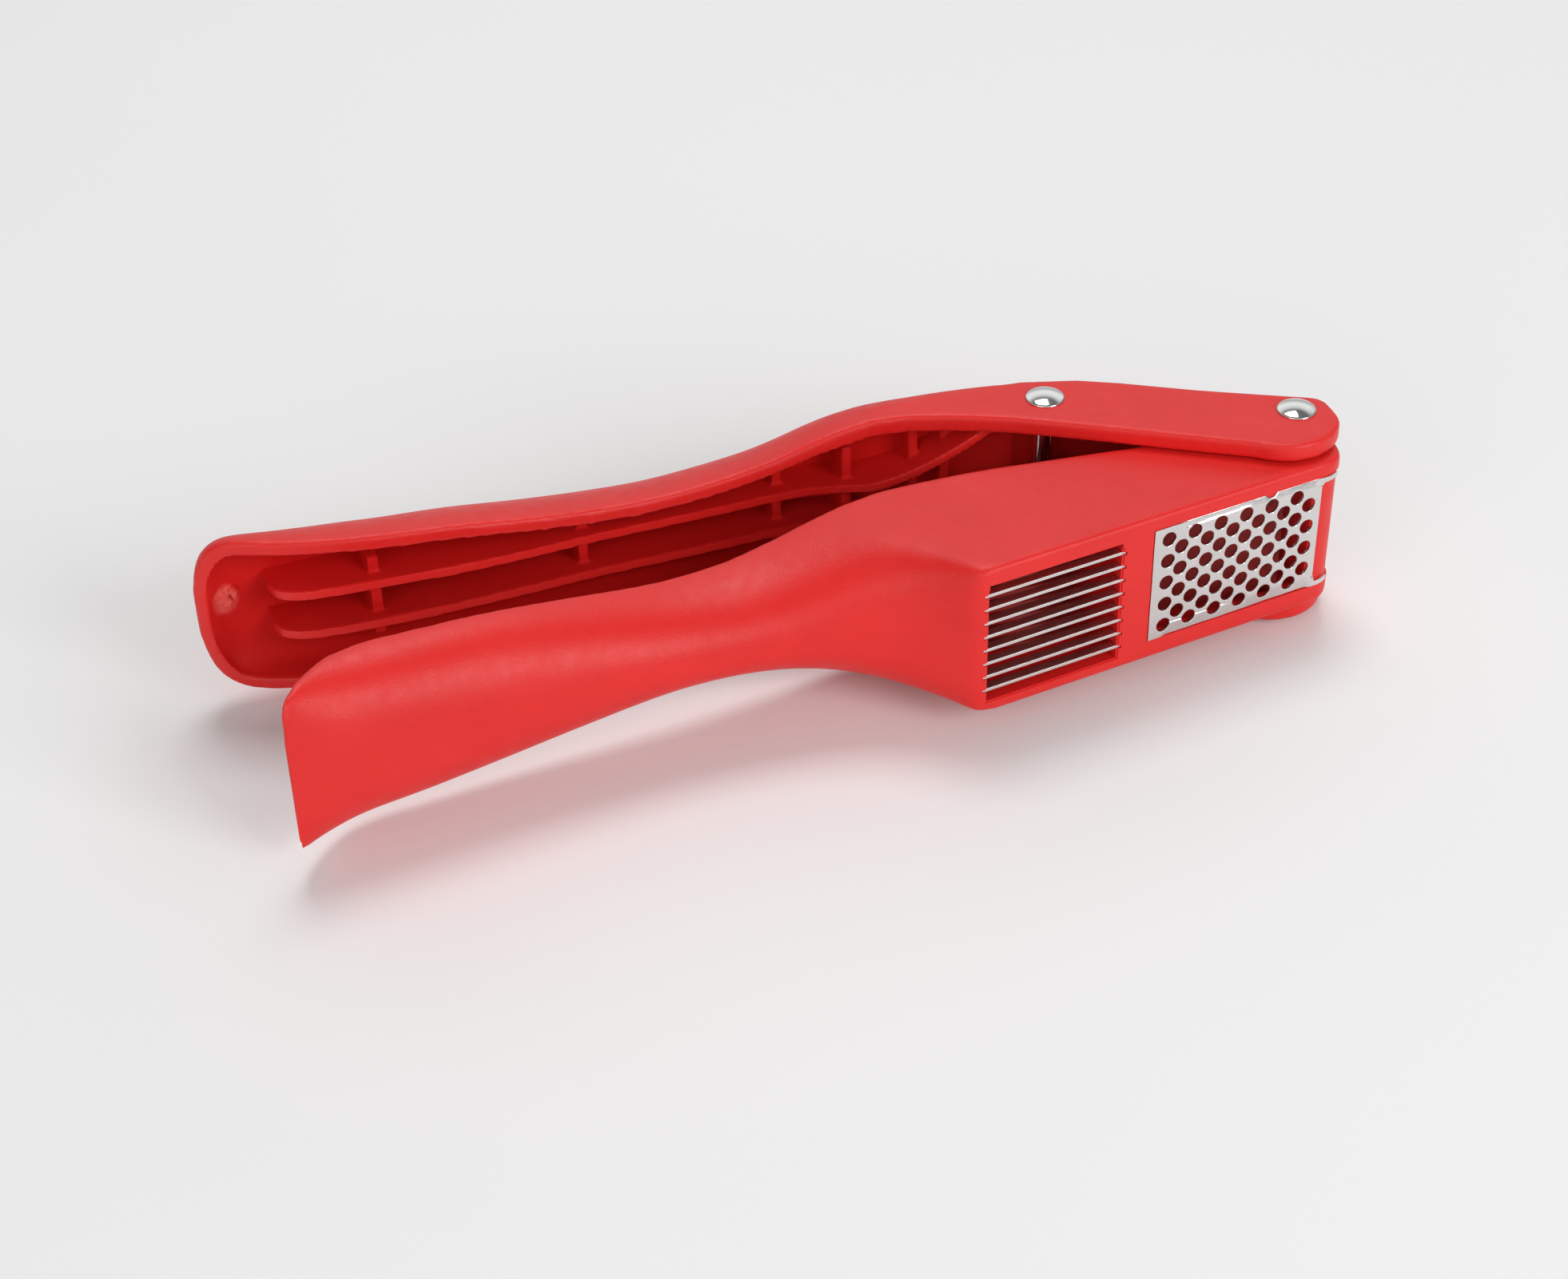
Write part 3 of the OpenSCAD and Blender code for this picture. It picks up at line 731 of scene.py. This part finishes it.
piece(sharpen(pin(PIVOT), 40), "main_rivet", "lever", ["pivot_pin"], CHROME)
piece(sharpen(cap(PIVOT), 40), "main_rivet_cap", "lever", ["pivot_pin_cap"], CHROME)
piece(sharpen(pin(HANG), 40), "pusher_rivet", "lever", ["pusher_pin"], CHROME, LEVER)
piece(sharpen(cap(HANG), 40), "pusher_rivet_cap", "lever", ["pusher_pin_cap"], CHROME, LEVER)

# ---------------------------------------------------------------------- stage
floor = new_object("floor", [(-4, -4, 0), (4, -4, 0), (4, 4, 0), (-4, 4, 0)], [(0, 1, 2, 3)])
mat = bpy.data.materials.new("floor_paper")
nt, b = nodes_of(mat)
co = nt.nodes.new("ShaderNodeTexCoord").outputs["Object"]
nt.links.new(ramp(nt, noise(nt, co, 3, 2), [(0.3, 0.90), (0.7, 0.92)]), b.inputs["Base Color"])
b.inputs["Roughness"].default_value = 0.9
b.inputs["Specular IOR Level"].default_value = 0.1
floor.data.materials.append(mat)


def area(name, loc, target, size, watts, size_y=None, colour=(1, 1, 1)):
    light = bpy.data.lights.new(name, "AREA")
    light.energy, light.size, light.color = watts, size, colour
    if size_y:
        light.shape, light.size_y = "RECTANGLE", size_y
    ob = bpy.data.objects.new(name, light)
    scene.collection.objects.link(ob)
    ob.location = loc
    ob.rotation_mode = "QUATERNION"
    ob.rotation_quaternion = (Vector(target) - Vector(loc)).to_track_quat("-Z", "Y")
    return ob


area("key", (0.18, 0.42, 1.3), (0, 0, 0), 0.55, 6.5)
area("front", (0.45, -1.15, 0.62), (-0.03, 0, 0.02), 0.6, 7.5)
area("fill", (-1.1, -0.7, 0.5), (0, 0, 0.02), 0.8, 2.5)
world = bpy.data.worlds.new("world")
scene.world = world
world.use_nodes = True
wt = world.node_tree
bg = wt.nodes["Background"]
sky = wt.nodes.new("ShaderNodeTexCoord").outputs["Generated"]
sep = wt.nodes.new("ShaderNodeSeparateXYZ")
wt.links.new(sky, sep.inputs[0])
# studio walls: pale, brightest halfway up, dark overhead round the lamp
walls = ramp(wt, sep.outputs[2], [(0.0, 0.3), (0.2, 0.42), (0.45, 0.72), (0.66, 0.6), (0.82, 0.12)])
# and darker flags to the left and right
across = wt.nodes.new("ShaderNodeVectorMath")
across.operation = "DOT_PRODUCT"
across.inputs[1].default_value = (0.895, -0.446, 0)
wt.links.new(sky, across.inputs[0])
side = ramp(wt, math_node(wt, "ABSOLUTE", across.outputs["Value"], 0), [(0.45, 1.0), (0.8, 0.35)])
wt.links.new(math_node(wt, "MULTIPLY", walls, side), bg.inputs[0])
bg.inputs[1].default_value = 1.41
scene.view_settings.view_transform = "Standard"

# ---------------------------------------------------------------------- camera
psi, th, ro = 0.462654, 0.631011, 0.022108
cp, sp, ct, st = math.cos(psi), math.sin(psi), math.cos(th), math.sin(th)
fwd = Vector((ct * sp, ct * cp, -st))
right = Vector((cp, -sp, 0))
down = fwd.cross(right)
r2 = math.cos(ro) * right + math.sin(ro) * down
d2 = -math.sin(ro) * right + math.cos(ro) * down
rot = Matrix((r2, -d2, -fwd)).transposed()
cam_data = bpy.data.cameras.new("camera")
cam_data.sensor_width = 36
cam_data.lens = 3464 / 1962 * 36
cam_data.clip_start, cam_data.clip_end = 0.01, 20
cam = bpy.data.objects.new("camera", cam_data)
scene.collection.objects.link(cam)
cam.rotation_mode = "QUATERNION"
cam.rotation_quaternion = rot.to_quaternion()
cam.location = Vector(((-51.8385 * 4.5 + SHIFT[0]) / 1000, (-71.0676 * 4.5 + SHIFT[1]) / 1000, ((59.0563 + 2.15) * 4.5 + SHIFT[2]) / 1000))
scene.camera = cam
